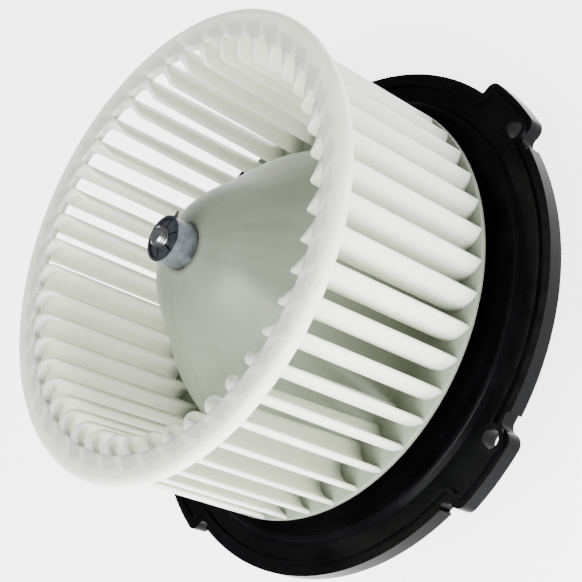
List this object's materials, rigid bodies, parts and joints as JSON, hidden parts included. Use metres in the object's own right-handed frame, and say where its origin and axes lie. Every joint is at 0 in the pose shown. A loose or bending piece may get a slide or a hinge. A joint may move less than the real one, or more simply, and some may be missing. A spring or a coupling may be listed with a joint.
{
  "type": "vehicle heater blower motor with squirrel-cage wheel",
  "caption": "Squirrel-cage blower wheel on a small DC motor in a round black flange with four bolt ears and a rear plug socket.",
  "frame": {"origin": "on the shaft axis, in the plane of the flange's seating bosses", "axes": "+Z along the shaft towards the wheel's air inlet, +X along the long side of the rectangle of bolt holes"},
  "size_m": [0.1722, 0.1722, 0.1184],
  "materials": {
    "natural_polypropylene": "translucent off-white moulded polypropylene, satin",
    "black_plastic": "glossy black moulded plastic",
    "connector_plastic": "black moulded nylon, satin",
    "cap_steel": "plated spring steel, satin",
    "shaft_steel": "ground steel",
    "spring_steel": "blued spring steel",
    "screw_steel": "zinc-plated steel",
    "zinc_steel": "zinc-plated drawn steel, satin",
    "core_steel": "stacked electrical steel laminations",
    "copper": "enamelled copper wire and bare copper bars",
    "brass": "bare brass sheet",
    "bronze": "oil-filled sintered bronze",
    "ferrite": "sintered ferrite, matt dark grey",
    "phenolic": "brown phenolic moulding, matt",
    "rubber": "black rubber, matt",
    "washer_nylon": "natural nylon",
    "carbon": "pressed carbon, matt"
  },
  "bodies": {
    "housing": {"motor_flange": "black_plastic", "motor_shroud": "black_plastic", "rear_cover": "black_plastic", "cover_screws": "screw_steel", "connector_housing": "connector_plastic", "terminal_1": "brass", "terminal_2": "brass", "motor_can": "zinc_steel", "end_plate": "zinc_steel", "motor_bracket": "zinc_steel", "vibration_grommet_1": "rubber", "vibration_grommet_2": "rubber", "vibration_grommet_3": "rubber", "grommet_sleeves": "screw_steel", "motor_screws": "screw_steel", "front_bearing": "bronze", "front_bearing_retainer": "spring_steel", "rear_bearing": "bronze", "rear_bearing_retainer": "spring_steel", "magnet_1": "ferrite", "magnet_2": "ferrite", "magnet_clip_1": "spring_steel", "magnet_clip_2": "spring_steel", "brush_plate": "phenolic", "brush_holder_1": "brass", "brush_holder_2": "brass", "brush_spring_1": "spring_steel", "brush_spring_2": "spring_steel", "choke_coil_1": "copper", "choke_coil_2": "copper"},
    "rotor": {"wheel_hub": "natural_polypropylene", "wheel_blades": "natural_polypropylene", "wheel_ring": "natural_polypropylene", "retainer_cap": "cap_steel", "retaining_clip": "spring_steel", "motor_shaft": "shaft_steel", "armature_core": "core_steel", "armature_winding": "copper", "front_insulator": "phenolic", "rear_insulator": "phenolic", "commutator_hub": "phenolic", "commutator_bars": "copper", "front_thrust_washer": "washer_nylon", "rear_thrust_washer": "washer_nylon"},
    "brush_1_body": {"brush_1": "carbon"},
    "brush_2_body": {"brush_2": "carbon"}
  },
  "joints": [
    {"name": "rotor_spin", "type": "hinge", "parent": "housing", "child": "rotor", "pos_m": [0, 0, 0], "axis": [0, 0, 1], "continuous": true},
    {"name": "brush_1_slide", "type": "slide", "parent": "housing", "child": "brush_1_body", "axis": [1, 0, 0], "range_m": [0, 0.003], "stiffness_N_per_m": 150, "springref_m": -0.005, "deforming": ["brush_spring_1"]},
    {"name": "brush_2_slide", "type": "slide", "parent": "housing", "child": "brush_2_body", "axis": [-1, 0, 0], "range_m": [0, 0.003], "stiffness_N_per_m": 150, "springref_m": -0.005, "deforming": ["brush_spring_2"]}
  ]
}
